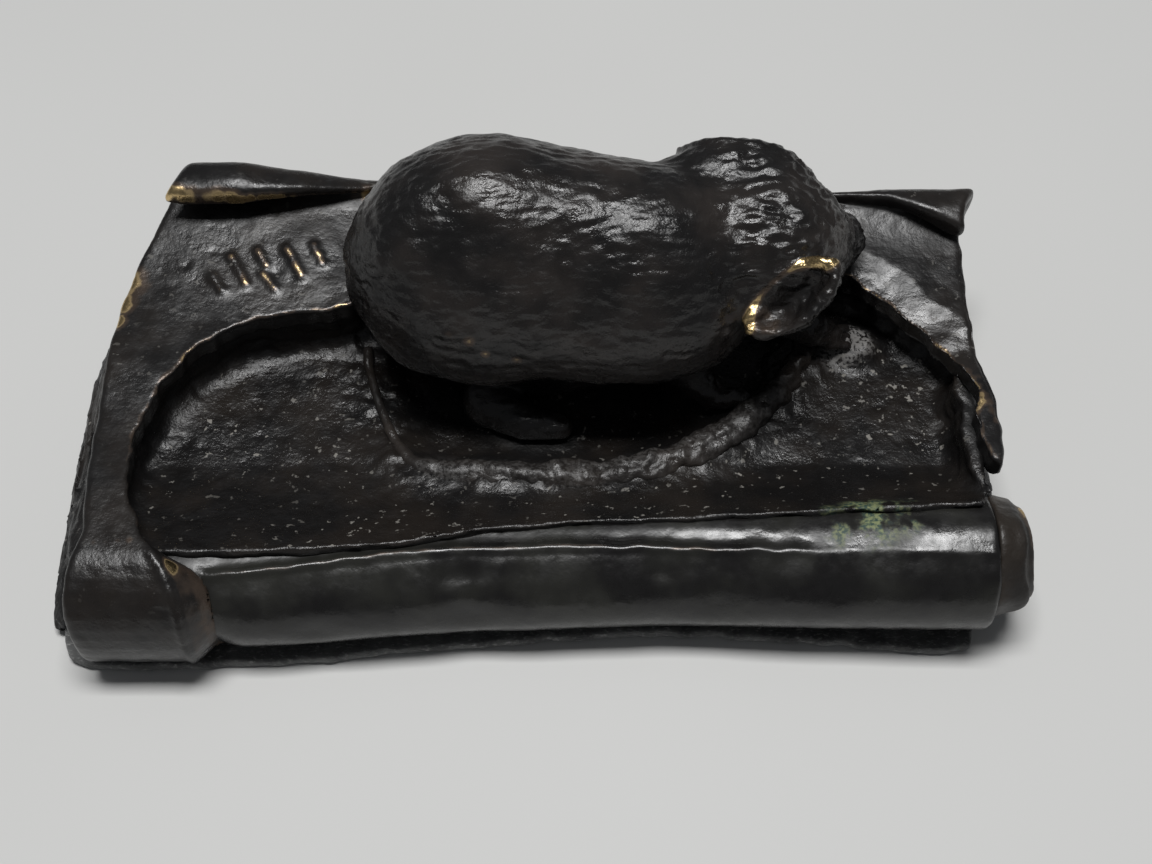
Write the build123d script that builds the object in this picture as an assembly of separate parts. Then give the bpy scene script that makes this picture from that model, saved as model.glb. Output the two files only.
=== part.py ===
"""Cast bronze paperweight: a mouse crouching on a gnawed, partly rolled parchment leaf.

Millimetres, +X along the width, +Y to the curled back lip, +Z up, underside at Z = 0.
"""

import math
import os

from build123d import *

# Half-width of every cutting block, beyond all sides of the weight
OUTSIDE = 50.0

# Felt pad glued under the casting
PAD_T = 1.3
PAD_INSET = 0.4

# Stacked lower leaves of the parchment
LOWER_TOP = 4.4
FLOOR_Z = 8.4
UPPER_INSET = 2.0
WALL_PROUD = 1.2
RAMP_START = (-8.8, 8.4)
RAMP_END = (-13.6, 11.4)
UNDERCUT = 1.1
SETBACK_Y = -18.6

# Torn upper leaf
LEAF_T = 2.6
LEAF_HALF_T = LEAF_T / 2
TEAR_HEIGHT = 40.0

# Middle line of the upper leaf behind the roll, as (y, z, half thickness): a gentle rise, then its
# back edge, which curls forward at both ends and stays plain behind the mouse
LEAF_RISE = [
    (-4.0, 13.3, LEAF_HALF_T),
    (8.0, 13.8, LEAF_HALF_T),
    (16.0, 15.0, LEAF_HALF_T),
]
LEFT_CURL = [
    (21.2, 16.8, 1.2),
    (23.6, 19.3, 0.9),
    (22.4, 21.0, 0.9),
    (19.7, 20.7, 0.8),
]
PLAIN_BACK = [(22.8, 17.4, 1.1)]
RIGHT_CURL = [
    (19.6, 16.3, 1.2),
    (22.0, 18.4, 0.9),
    (20.9, 19.9, 0.9),
    (18.2, 19.4, 0.8),
]
LEFT_CURL_END_X = -18.0
RIGHT_CURL_START_X = 28.0

# Rolled front edge: a straight round length at the left, then (x, axis y, axis z, radius)
ROLL_X0 = -44.6
ROLL_SECTIONS = [
    (-26.0, -17.3, 7.0, 5.0),
    (-8.0, -16.0, 6.9, 4.9),
    (12.0, -15.2, 6.9, 4.9),
    (43.6, -15.2, 8.1, 6.0),
]
WRAP_GAP = 0.02
WRAP_AXIS_Y = ROLL_SECTIONS[0][1]
WRAP_AXIS_Z = ROLL_SECTIONS[0][2]
WRAP_R = ROLL_SECTIONS[0][3] + WRAP_GAP + LEAF_HALF_T

# Inner turns that stand out of the right end of the roll
CORE_R = 4.6
CORE_X0 = 34.0
CORE_X1 = 47.5
CORE_Y = -15.2
CORE_Z = 7.9
CORE_ROUND = 1.6
SPREAD_R = 5.6
SPREAD_X0 = 43.7

# Mouse
BODY_C = (-3.6, 9.0, 22.2)
BODY_R = (14.6, 11.2, 12.9)
SHOULDER_C = (8.6, 8.0, 21.4)
SHOULDER_R = (13.4, 10.8, 12.2)
BELLY_C = (2.0, 8.2, 13.0)
BELLY_R = (17.0, 8.2, 8.5)
HEAD_C = (20.5, 10.6, 24.0)
HEAD_R = (9.2, 7.6, 7.4)
SNOUT_C = (27.6, 13.0, 20.6)
SNOUT_R = (6.2, 4.0, 4.2)
FOOT_R = (5.4, 3.0, 2.8)
FEET = [
    (0.5, -0.4, 9.8),
    (15.8, 2.4, 9.8),
]
EAR_R = 4.9
EAR_T = 1.8
EAR_DISH = 0.9
EAR_DISH_R = 6.0
NEAR_EAR = (23.5, 3.4, 25.1)
NEAR_EAR_FACING = (0.57, -0.81, -0.10)
FAR_EAR = (18.8, 16.4, 28.4)
FAR_EAR_FACING = (0.15, 0.86, 0.42)

# Tail rod: corners of its route in plan, and the bend at each inner corner
TAIL_R = 1.15
TAIL_ROUTE = [
    (-11.5, 10.2),
    (-18.0, 6.4),
    (-14.6, -3.4),
    (-9.0, -6.9),
    (5.0, -7.4),
    (16.6, -4.6),
    (25.0, 2.6),
    (28.6, 10.6),
]
TAIL_BEND = 6.0

# Screw that holds the mouse down from below
SCREW_X = 3.0
SCREW_Y = 8.0
SHANK_R = 2.0
SHANK_TOP = 14.0
BOLT_HEAD_R = 3.5
BOLT_HEAD_T = 2.2
SLOT_W = 0.9
SLOT_DEPTH = 0.8
WASHER_R = 4.2
WASHER_T = 0.8
WELL_R = 4.6
WELL_TOP = 5.0
CLEARANCE = 0.1

BASE_OUTLINE = [
    (-41.6, -23.7),
    (-46.0, -20.2),
    (-47.2, -8.0),
    (-47.5, 6.0),
    (-45.6, 17.0),
    (-41.6, 23.6),
    (-30.0, 24.4),
    (-8.0, 23.4),
    (16.0, 23.4),
    (36.0, 24.4),
    (43.6, 23.4),
    (44.8, 8.0),
    (45.4, -6.0),
    (44.6, -19.0),
    (41.4, -22.6),
    (26.0, -21.0),
    (10.0, -20.3),
    (-6.0, -21.5),
    (-24.0, -23.2),
]

LEAF_OUTLINE = [
    (-39.6, -26.0),
    (-41.4, -16.0),
    (-42.8, -2.0),
    (-42.6, 8.0),
    (-40.6, 16.0),
    (-38.0, 22.5),
    (-36.6, 26.0),
    (0.0, 26.0),
    (42.6, 26.0),
    (43.8, 18.0),
    (43.8, 6.0),
    (45.2, -3.0),
    (44.4, -10.5),
    (40.0, -26.0),
    (0.0, -26.0),
]

TEAR_EDGE = [
    (-29.0, -27.0),
    (-30.6, -20.4),
    (-35.8, -14.8),
    (-38.0, -7.1),
    (-36.0, 1.4),
    (-30.0, 7.6),
    (-19.0, 9.8),
    (-8.0, 15.0),
    (6.0, 17.6),
    (20.0, 17.0),
    (31.0, 14.0),
    (38.0, 7.8),
    (42.4, 1.0),
    (43.4, -8.6),
    (46.5, -10.0),
]


def closed_face(points):
    """Flat face inside a smooth closed outline."""
    return make_face(Spline(*points, periodic=True))


def shifted(points, distance):
    """Moves every point of a line to its left by a distance, square to its neighbours' chord."""
    moved = []
    for i, (x, y) in enumerate(points):
        before = points[i - 1]
        after = points[(i + 1) % len(points)]
        dx = after[0] - before[0]
        dy = after[1] - before[1]
        length = math.hypot(dx, dy)
        moved.append((x - distance * dy / length, y + distance * dx / length))
    return moved


def ellipsoid(centre, radii):
    """Solid ellipsoid with its axes along X, Y and Z, and the poles of its surface on the X axis."""
    return Pos(*centre) * scale(Rotation(0, 90, 0) * Sphere(1.0), by=radii)


def make_pad():
    """Thin felt pad, showing as a narrow strip in front of the roll."""
    return extrude(closed_face(shifted(BASE_OUTLINE, -PAD_INSET)), amount=PAD_T)


def make_roll_skin():
    """Full outer volume of the rolled front edge."""
    sections = []
    for x, y, z, radius in ROLL_SECTIONS:
        sections.append(Plane((x, y, z), x_dir=(0, 1, 0), z_dir=(1, 0, 0)) * Circle(radius))
    straight = extrude(sections[0], amount=ROLL_X0 - ROLL_SECTIONS[0][0])
    return straight + loft(sections)


def make_core():
    """Inner turns of the roll, spread wider where they stand out at the right end."""
    start = Plane((CORE_X0, CORE_Y, CORE_Z), x_dir=(0, 1, 0), z_dir=(1, 0, 0))
    spread_start = Plane((SPREAD_X0, CORE_Y, CORE_Z), x_dir=(0, 1, 0), z_dir=(1, 0, 0))
    stem = extrude(start * Circle(CORE_R), amount=SPREAD_X0 - CORE_X0)
    spread = extrude(spread_start * Circle(SPREAD_R), amount=CORE_X1 - SPREAD_X0)
    rim = spread.edges().sort_by(Axis.X)[-1]
    return stem + fillet(rim, radius=CORE_ROUND)


def sheet_side(points, side):
    """One face line of a sheet, from its middle points with half thicknesses: side is 1, 0 or -1."""
    line = [(WRAP_AXIS_Y, WRAP_AXIS_Z + WRAP_R + side * LEAF_HALF_T)]
    for i, (y, z, half) in enumerate(points):
        before = points[i - 1] if i > 0 else (WRAP_AXIS_Y, WRAP_AXIS_Z + WRAP_R)
        after = points[min(i + 1, len(points) - 1)]
        dy = after[0] - before[0]
        dz = after[1] - before[1]
        length = math.hypot(dy, dz)
        line.append((y - side * half * dz / length, z + side * half * dy / length))
    end = (points[-1][0] - points[-2][0], points[-1][1] - points[-2][1])
    return Spline(*line, tangents=((1, 0), end))


def wrap_arc(radius):
    """Arc round the roll at the front left, from below it to its top."""
    return ThreePointArc(
        (WRAP_AXIS_Y - radius * 0.76, WRAP_AXIS_Z - radius * 0.65),
        (WRAP_AXIS_Y - radius * 0.87, WRAP_AXIS_Z + radius * 0.493),
        (WRAP_AXIS_Y, WRAP_AXIS_Z + radius),
    )


def make_leaf_profile(back):
    """Section of the upper leaf in the YZ plane, with its wrap over the front roll."""
    points = LEAF_RISE + back
    outer_arc = wrap_arc(WRAP_R + LEAF_HALF_T)
    inner_arc = wrap_arc(WRAP_R - LEAF_HALF_T)
    outer_line = sheet_side(points, 1)
    inner_line = sheet_side(points, -1)
    front_end = Line(outer_arc @ 0, inner_arc @ 0)
    back_end = Line(outer_line @ 1, inner_line @ 1)
    return make_face(outer_arc + outer_line + back_end + inner_line + inner_arc + front_end)


def make_span(x0, x1, back):
    """Length of the upper leaf between two places along X, with the given back edge."""
    return extrude(Plane.YZ.offset(x0) * make_leaf_profile(back), amount=x1 - x0)


def make_wall_profile():
    """Section of the block that carries the upper leaf, up to the leaf's middle line."""
    top = sheet_side(LEAF_RISE + PLAIN_BACK, 0)
    back_top = top @ 1
    rest = Polyline(
        back_top,
        (OUTSIDE, back_top.Y),
        (OUTSIDE, LOWER_TOP),
        (WRAP_AXIS_Y, LOWER_TOP),
        top @ 0,
    )
    return make_face(top + rest)


def make_opening(points):
    """Tall prism inside the gnawed edge, open to the front."""
    edge = Spline(*points)
    rest = Polyline(
        points[-1],
        (OUTSIDE, points[-1][1]),
        (OUTSIDE, -OUTSIDE),
        (points[0][0], -OUTSIDE),
        points[0],
    )
    return extrude(make_face(edge + rest), amount=TEAR_HEIGHT)


def make_leaf():
    """Torn upper leaf: curled at both back corners, wrapped over the roll at the front left."""
    sheet = make_span(-OUTSIDE, LEFT_CURL_END_X, LEFT_CURL)
    sheet = sheet + make_span(LEFT_CURL_END_X, RIGHT_CURL_START_X, PLAIN_BACK)
    sheet = sheet + make_span(RIGHT_CURL_START_X, OUTSIDE, RIGHT_CURL)
    blank = extrude(closed_face(LEAF_OUTLINE), amount=TEAR_HEIGHT)
    return (sheet & blank) - make_opening(TEAR_EDGE)


def make_ramp():
    """Rise of the floor towards the roll, across the whole opening."""
    profile = Polyline(
        RAMP_START, RAMP_END, (RAMP_END[0], LOWER_TOP), (RAMP_START[0], LOWER_TOP), RAMP_START
    )
    block = extrude(Plane.YZ.offset(-OUTSIDE) * make_face(profile), amount=2 * OUTSIDE)
    return block & make_opening(TEAR_EDGE)


def make_hollow():
    """Space above the floor, slightly undercut below the torn edge."""
    return Pos(0, 0, FLOOR_Z) * make_opening(shifted(TEAR_EDGE, UNDERCUT))


def make_scroll_body(roll, core, leaf):
    """Stacked lower leaves with the floor of the opening and the trough of the roll."""
    outline = closed_face(BASE_OUTLINE)
    lower = Pos(0, 0, PAD_T) * extrude(outline, amount=LOWER_TOP - PAD_T)
    front = Pos(0, SETBACK_Y - OUTSIDE, 0) * Box(2 * OUTSIDE, 2 * OUTSIDE, 2 * OUTSIDE)
    lower = lower - front
    inner = extrude(closed_face(shifted(BASE_OUTLINE, -UPPER_INSET)), amount=TEAR_HEIGHT)
    inner = inner & extrude(closed_face(shifted(LEAF_OUTLINE, WALL_PROUD)), amount=TEAR_HEIGHT)
    wall = extrude(Plane.YZ.offset(-OUTSIDE) * make_wall_profile(), amount=2 * OUTSIDE)
    upper = inner & (wall - make_hollow() + make_ramp())
    body = (lower + upper) - roll - core - leaf
    well = Pos(SCREW_X, SCREW_Y, PAD_T) * Cylinder(
        WELL_R, WELL_TOP - PAD_T, align=(Align.CENTER, Align.CENTER, Align.MIN)
    )
    hole = Pos(SCREW_X, SCREW_Y, 0) * Cylinder(
        SHANK_R + CLEARANCE, OUTSIDE, align=(Align.CENTER, Align.CENTER, Align.MIN)
    )
    return largest(body - well - hole)


def largest(shape):
    """Keeps only the main solid when a cut leaves loose slivers."""
    return shape.solids().sort_by(SortBy.VOLUME)[-1]


def make_ear(centre, facing):
    """Round, slightly dished ear lobe."""
    lobe = Cylinder(EAR_R, EAR_T)
    lobe = fillet(lobe.edges(), radius=EAR_T / 3)
    dish = Pos(0, 0, EAR_T / 2 + EAR_DISH_R - EAR_DISH) * Sphere(EAR_DISH_R)
    return Plane(centre, z_dir=facing) * (lobe - dish)


def make_seat():
    """Everything the mouse is fitted against: the floor, and the torn leaf behind it."""
    top = sheet_side(LEAF_RISE + PLAIN_BACK, 1)
    back_top = top @ 1
    rest = Polyline(back_top, (OUTSIDE, back_top.Y), (OUTSIDE, 0), (WRAP_AXIS_Y, 0), top @ 0)
    behind = extrude(Plane.YZ.offset(-OUTSIDE) * make_face(top + rest), amount=2 * OUTSIDE)
    below = Pos(0, 0, FLOOR_Z - OUTSIDE) * Box(2 * OUTSIDE, 2 * OUTSIDE, 2 * OUTSIDE)
    return (behind - make_opening(TEAR_EDGE)) + below


def make_mouse():
    """Crouching mouse, flat below where it sits on the floor, resting against the leaf behind it."""
    figure = ellipsoid(BODY_C, BODY_R)
    figure = figure + ellipsoid(SHOULDER_C, SHOULDER_R)
    figure = figure + ellipsoid(BELLY_C, BELLY_R)
    figure = figure + ellipsoid(HEAD_C, HEAD_R)
    figure = figure + ellipsoid(SNOUT_C, SNOUT_R)
    for foot in FEET:
        figure = figure + ellipsoid(foot, FOOT_R)
    figure = figure + make_ear(NEAR_EAR, NEAR_EAR_FACING)
    figure = figure + make_ear(FAR_EAR, FAR_EAR_FACING)
    figure = figure - make_seat()
    bore = Pos(SCREW_X, SCREW_Y, FLOOR_Z) * Cylinder(
        SHANK_R + CLEARANCE,
        SHANK_TOP + CLEARANCE - FLOOR_Z,
        align=(Align.CENTER, Align.CENTER, Align.MIN),
    )
    return largest(figure - bore)


def make_tail(mouse):
    """Tail rod lying on the floor round the near side of the mouse."""
    corners = []
    for x, y in TAIL_ROUTE:
        corners.append((x, y, FLOOR_Z + TAIL_R))
    route = FilletPolyline(*corners, radius=[TAIL_BEND] * (len(corners) - 2))
    section = Plane(route @ 0, z_dir=route % 0) * Circle(TAIL_R)
    return largest(sweep(section, path=route) - mouse)


def make_washer():
    """Plain washer between the screw head and the casting."""
    ring = Cylinder(WASHER_R, WASHER_T, align=(Align.CENTER, Align.CENTER, Align.MAX))
    ring = ring - Cylinder(SHANK_R + CLEARANCE, 3 * WASHER_T)
    return Pos(SCREW_X, SCREW_Y, WELL_TOP) * ring


def make_screw():
    """Cheese-head screw with a slot, driven up from the underside."""
    head_top = WELL_TOP - WASHER_T
    head = Pos(0, 0, head_top) * Cylinder(
        BOLT_HEAD_R, BOLT_HEAD_T, align=(Align.CENTER, Align.CENTER, Align.MAX)
    )
    shank = Pos(0, 0, head_top) * Cylinder(
        SHANK_R, SHANK_TOP - head_top, align=(Align.CENTER, Align.CENTER, Align.MIN)
    )
    slot = Pos(0, 0, head_top - BOLT_HEAD_T) * Box(2 * BOLT_HEAD_R, SLOT_W, 2 * SLOT_DEPTH)
    return Pos(SCREW_X, SCREW_Y, 0) * (head + shank - slot)


pad = make_pad()
roll_skin = make_roll_skin()
core = make_core()
leaf = make_leaf()
body = make_scroll_body(roll_skin, core, leaf)
roll = roll_skin - core
mouse = make_mouse()
tail = make_tail(mouse)

os.makedirs("parts", exist_ok=True)
export_step(pad, "parts/felt_pad.step")
export_step(body, "parts/scroll_body.step")
export_step(largest(leaf), "parts/torn_leaf.step")
export_step(largest(roll), "parts/front_roll.step")
export_step(core, "parts/roll_core.step")
export_step(mouse, "parts/mouse.step")
export_step(tail, "parts/mouse_tail.step")
export_step(make_washer(), "parts/fixing_washer.step")
export_step(make_screw(), "parts/fixing_screw.step")
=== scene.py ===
import math

import bpy
import numpy as np
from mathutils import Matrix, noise


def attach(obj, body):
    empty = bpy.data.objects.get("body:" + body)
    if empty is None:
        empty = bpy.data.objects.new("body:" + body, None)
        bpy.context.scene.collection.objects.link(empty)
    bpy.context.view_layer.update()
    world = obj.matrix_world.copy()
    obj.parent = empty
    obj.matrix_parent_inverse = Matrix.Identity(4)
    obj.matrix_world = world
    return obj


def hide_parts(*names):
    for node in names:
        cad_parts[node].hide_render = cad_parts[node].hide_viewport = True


# Cast bronze paperweight: a mouse crouching on a gnawed parchment leaf whose front edge is rolled up.
# Every shape is a distance function in millimetres, negative inside the metal, and is meshed, given
# its relief, and scaled to metres. X runs to the right, Y to the curled back edge and Z up.

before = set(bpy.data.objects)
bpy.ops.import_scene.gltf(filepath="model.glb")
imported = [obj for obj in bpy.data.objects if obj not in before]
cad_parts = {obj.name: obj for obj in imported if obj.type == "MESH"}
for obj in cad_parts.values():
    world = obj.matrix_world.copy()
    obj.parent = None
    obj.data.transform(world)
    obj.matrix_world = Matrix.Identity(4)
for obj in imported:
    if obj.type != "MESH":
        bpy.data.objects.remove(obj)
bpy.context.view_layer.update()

MM = 0.001
CELL = 0.3


# ---------------------------------------------------------------- driving sizes (mm)

PAD_T = 1.3
PAGE_T = 1.3
LOWER_TOP = 4.4
SETBACK_Y = -18.6
FLOOR_Z = 8.4
LEAF_HALF_T = 1.3
LUMP_X, LUMP_Y = 33.0, 9.8
SCREW_X, SCREW_Y = 3.0, 8.0

# The rolled edge's axis as (x, y, z, radius), how far in (y, z) it is drawn out, and its ends.
ROLL_LINE = [(-60.0, -17.3, 7.0, 5.0), (-26.0, -17.3, 7.0, 5.0), (-8.0, -16.0, 6.9, 4.9),
             (12.0, -15.2, 6.9, 4.9), (43.6, -15.2, 8.1, 6.0), (60.0, -15.2, 8.1, 6.0)]
ROLL_DRAWN = (-1.0, -0.6)
ROLL_X0, ROLL_X1 = -44.3, 43.4
ROLL_TURN = 1.15

# The core in the roll's right end, and the wider part of it that stands out.
CORE_Y, CORE_Z, CORE_R = -15.2, 7.9, 4.5
CORE_X0, CORE_X1 = 35.0, 46.7
CORE_TURN = 1.3
BORE_X0, BORE_GAP = 36.0, 0.15
SPREAD_X0, SPREAD_R = 42.8, 5.75

# Outlines seen from above. The tear's edge is closed in front of the leaf, round the gnawed opening.
BASE_OUTLINE = [(-41.6, -23.7), (-46.0, -20.2), (-47.2, -8.0), (-47.4, 6.0), (-45.4, 17.0),
                (-41.6, 23.4), (-30.0, 24.2), (-8.0, 23.3), (16.0, 23.3), (36.0, 24.2),
                (43.4, 23.2), (44.8, 8.0), (45.0, -6.0), (43.0, -18.6), (40.6, -22.0),
                (26.0, -21.0), (10.0, -20.3), (-6.0, -21.5), (-24.0, -23.2)]
LEAF_OUTLINE = [(-39.6, -26.0), (-41.4, -16.0), (-42.6, -2.0), (-42.4, 8.0), (-40.4, 16.0),
                (-37.8, 22.5), (-36.4, 26.0), (0.0, 26.0), (42.6, 26.0), (43.6, 18.0),
                (43.6, 6.0), (44.8, -3.0), (44.0, -10.5), (40.0, -26.0), (0.0, -26.0)]
TEAR_EDGE = [(-31.2, -32.0), (-31.6, -25.0), (-33.0, -20.4), (-36.6, -14.8), (-38.0, -7.1),
             (-36.0, 1.4), (-30.0, 7.4), (-19.0, 9.8), (-8.0, 15.0), (6.0, 17.6), (20.0, 17.0),
             (31.0, 14.0), (38.0, 7.8), (42.6, 1.0), (43.4, -8.6), (50.0, -10.0)]
TEAR_CLOSED = [(60.0, -10.0), (60.0, -40.0), (-29.0, -40.0)]
TAIL_LINE = [(-17.6, 9.0), (-17.2, 6.2), (-15.9, 2.1), (-14.2, -2.0), (-11.8, -5.4), (-8.0, -6.6),
             (-3.0, -7.1), (4.0, -7.2), (11.0, -6.2), (17.0, -3.4), (22.0, 0.6), (25.6, 4.8),
             (28.0, 10.0)]

# The torn leaf's section as (y, z): round the roll, over the pages, and forward in the curl, with
# the clear room under each curl.
WRAP_Y, WRAP_Z, WRAP_R = -17.3, 7.0, 6.32
LEAF_RISE = [(-17.3, 13.32), (-11.0, 13.35), (-4.0, 13.3), (8.0, 13.8), (16.0, 15.0)]
LEFT_CURL = [(21.2, 16.8), (23.4, 19.2), (22.7, 20.9), (20.6, 21.1), (18.8, 20.2)]
RIGHT_CURL = [(19.4, 16.2), (21.5, 18.1), (21.0, 19.1), (19.2, 19.2), (17.4, 18.5)]
LEFT_ROOM = [(18.0, 18.0), (22.0, 19.0)]
RIGHT_ROOM = [(17.0, 17.1), (20.5, 18.2)]

# How far the tear's edge leans for each mm of height, in the opening and where the leaf wraps.
TEAR_SLANT = -0.15
WRAP_SLANT = 1.15

# Along the curled lip: how far forward its edge comes, and its height above its foot as a share.
LIP_X = [-44.0, -36.0, -30.0, -24.0, -18.0, -12.0, 20.0, 24.0, 30.0, 36.0, 44.0]
LIP_EDGE_Y = [20.0, 19.0, 19.0, 20.4, 22.2, 24.6, 24.6, 23.6, 21.6, 20.4, 16.6]
LIP_SCALE = [1.0, 1.0, 1.0, 0.8, 0.5, 0.4, 0.4, 0.5, 0.8, 1.0, 1.0]
LIP_FOOT_Z = 16.5

# Along the roll: where the floor's sheet ends on it, and how high round it the worn ridge lies.
SHEET_X = [-30.0, -20.0, -13.0, -6.0, 2.0, 12.0, 30.0, 43.0]
SHEET_EDGE_Y = [-17.6, -17.2, -16.6, -15.2, -14.2, -13.8, -13.4, -13.2]
RIDGE_X = [-30.0, -13.0, 2.0, 22.0, 43.0]
RIDGE_DEGREES = [66.0, 80.0, 81.0, 69.0, 62.0]

# Dents in the roll: x, degrees round it, half length, half height and depth.
DENTS = [(-6.5, 52.0, 2.2, 1.2, 0.35), (-6.0, 8.0, 2.6, 1.6, 0.42), (-13.0, 30.0, 0.6, 3.0, 0.16),
         (6.0, 24.0, 3.4, 1.4, 0.22), (18.0, 18.0, 3.0, 1.6, 0.25), (28.0, 30.0, 2.4, 1.6, 0.22),
         (-20.0, 2.0, 2.2, 1.2, 0.3), (12.0, 48.0, 1.6, 1.0, 0.2)]

# Plain slanted strokes on the leaf, each as its two ends seen from above.
STROKES = [(-33.0, 13.0, -31.9, 11.4), (-31.2, 15.2, -29.5, 12.2), (-28.6, 15.9, -27.6, 14.2),
           (-27.9, 13.3, -26.4, 11.6), (-25.7, 16.2, -23.9, 13.0), (-22.9, 16.5, -21.9, 14.6)]

# The mouse's masses, cuts and limbs.
RUMP = dict(centre=(-4.0, 9.2, 22.3), radii=(14.2, 11.6, 12.7))
SHOULDERS = dict(centre=(9.6, 8.0, 21.5), radii=(12.6, 10.6, 11.7))
HAUNCH = dict(centre=(-4.4, 3.8, 20.0), radii=(10.4, 5.2, 7.6))
BELLY = dict(centre=(1.0, 9.0, 13.4), radii=(14.0, 7.0, 7.6))
FLANK_CUT = dict(centre=(-4.0, 9.2, 22.3), facing=(-0.05, -0.82, 0.57), reach=10.6)
BELLY_CUT = dict(centre=(0.0, 9.0, 22.0), facing=(0.0, -0.42, -0.91), reach=9.4)
SKULL = dict(centre=(21.2, 10.2, 24.2), radii=(8.8, 7.8, 7.5))
EAR_HUMP = dict(centre=(19.2, 14.6, 27.8), radii=(7.2, 3.8, 4.3))
CHEEKS = [dict(centre=(25.4, 8.8, 21.0), radii=(3.4, 2.9, 3.0)),
          dict(centre=(23.0, 15.0, 21.4), radii=(3.4, 2.9, 3.0))]
MUZZLE = dict(points=[(22.5, 11.2, 23.0), (27.4, 13.2, 21.0), (30.0, 14.6, 19.6)], radii=[6.3, 4.2, 2.7])
MOUTH = dict(points=[(27.6, 10.8, 18.0), (31.2, 14.0, 17.5)], radii=[0.35, 0.35])
EYES = [(27.2, 8.2, 24.0), (25.0, 16.6, 24.6)]
SOCKET_R = (1.7, 1.5, 1.5)
EYEBALL_R = (1.15, 1.1, 1.1)
NEAR_EAR = dict(centre=(24.0, 1.6, 25.7), facing=(-0.42, -0.50, 0.76), along=(0.83, 0.46, 0.32),
                radii=(5.1, 2.6))
FAR_EAR = dict(centre=(18.8, 16.8, 28.4), facing=(0.15, 0.86, 0.42), along=(0.99, -0.15, 0.0),
               radii=(5.2, 3.7))
HIND_FOOT = dict(points=[(-5.0, 1.8, 9.8), (-1.0, -0.4, 9.2), (2.4, -0.8, 8.6)], radii=[2.4, 2.0, 1.5])
FORE_FOOT = dict(points=[(15.0, 4.4, 12.0), (17.8, 2.6, 9.6), (20.8, 2.4, 8.9)], radii=[2.4, 1.4, 1.0])
PAW = dict(points=[(22.0, 8.4, 17.0), (27.0, 8.6, 13.5), (30.2, 9.6, 10.6)], radii=[2.8, 1.8, 1.2])
TOES = (-0.9, 0.0, 0.9)


# ---------------------------------------------------------------- distance tools

def smooth_min(a, b, k):
    """Union whose joint is filled over about k mm."""
    h = np.clip(0.5 + 0.5 * (b - a) / k, 0.0, 1.0)
    return b + (a - b) * h - k * h * (1.0 - h)


def smooth_max(a, b, k):
    """Intersection whose edge is rounded over about k mm."""
    return -smooth_min(-a, -b, k)


def ramp(value, low, high):
    """Smooth step from 0 at low to 1 at high."""
    t = np.clip((value - low) / (high - low), 0.0, 1.0)
    return t * t * (3.0 - 2.0 * t)


def bell(value, width):
    """Bell curve: 1 where the value is 0, and about a third of that at width."""
    return np.exp(-((value / width) ** 2))


def along_table(value, table):
    """Straight lines through a table of (place, height) points."""
    places, heights = np.array(table).T
    return np.interp(value, places, heights)


def wobble(x, y, z, size, seed=0.0):
    """Smooth noise from about -1 to 1, with features about size mm across."""
    x, y, z = np.broadcast_arrays(x, y, z)
    cells = zip((x / size + seed).ravel(), (y / size - seed).ravel(), (z / size + 3.1).ravel())
    return np.array([noise.noise(c) for c in cells]).reshape(x.shape)


def ellipsoid(x, y, z, centre, radii):
    """Approximate distance to an ellipsoid along the axes."""
    x, y, z = x - centre[0], y - centre[1], z - centre[2]
    rx, ry, rz = radii
    near = np.sqrt((x / rx) ** 2 + (y / ry) ** 2 + (z / rz) ** 2)
    steep = np.sqrt((x / rx**2) ** 2 + (y / ry**2) ** 2 + (z / rz**2) ** 2)
    return near * (near - 1.0) / np.maximum(steep, 1e-6)


def rod(x, y, z, points, radii):
    """Chain of round rods whose radius changes evenly from point to point."""
    best = None
    for a, b, ra, rb in zip(points[:-1], points[1:], radii[:-1], radii[1:]):
        e = [b[i] - a[i] for i in range(3)]
        dot = (x - a[0]) * e[0] + (y - a[1]) * e[1] + (z - a[2]) * e[2]
        t = np.clip(dot / (e[0] ** 2 + e[1] ** 2 + e[2] ** 2), 0.0, 1.0)
        gap = (x - a[0] - t * e[0]) ** 2 + (y - a[1] - t * e[1]) ** 2 + (z - a[2] - t * e[2]) ** 2
        d = np.sqrt(gap) - ra - (rb - ra) * t
        best = d if best is None else np.minimum(best, d)
    return best


def facet(x, y, z, centre, facing, reach):
    """Flat cut square to facing, at the given reach from the centre."""
    n = np.array(facing) / np.linalg.norm(facing)
    return (x - centre[0]) * n[0] + (y - centre[1]) * n[1] + (z - centre[2]) * n[2] - reach


def curve(points, steps=6, closed=False):
    """Points along a smooth line through the given points."""
    pts = np.array(points, float)
    count = len(pts)
    out = []
    for i in range(count if closed else count - 1):
        if closed:
            a, b, c, d = (pts[(i + j) % count] for j in (-1, 0, 1, 2))
        else:
            a, b, c, d = (pts[min(max(i + j, 0), count - 1)] for j in (-1, 0, 1, 2))
        for t in np.arange(steps) / steps:
            out.append(0.5 * (2 * b + (c - a) * t + (2 * a - 5 * b + 4 * c - d) * t**2
                              + (3 * b - a - 3 * c + d) * t**3))
    if not closed:
        out.append(pts[-1])
    return np.array(out)


def line_distance(x, y, points):
    """Distance in the plane to an open line, and the side of it: positive on its left."""
    shape = np.broadcast(x, y).shape
    near = np.full(shape, 1e9)
    side = np.zeros(shape)
    for (ax, ay), (bx, by) in zip(points[:-1], points[1:]):
        ex, ey = bx - ax, by - ay
        t = np.clip(((x - ax) * ex + (y - ay) * ey) / (ex * ex + ey * ey + 1e-12), 0.0, 1.0)
        dx, dy = x - ax - t * ex, y - ay - t * ey
        gap = dx * dx + dy * dy
        closer = gap < near
        near = np.where(closer, gap, near)
        side = np.where(closer, np.sign(ex * dy - ey * dx), side)
    return np.sqrt(near), side


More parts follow.
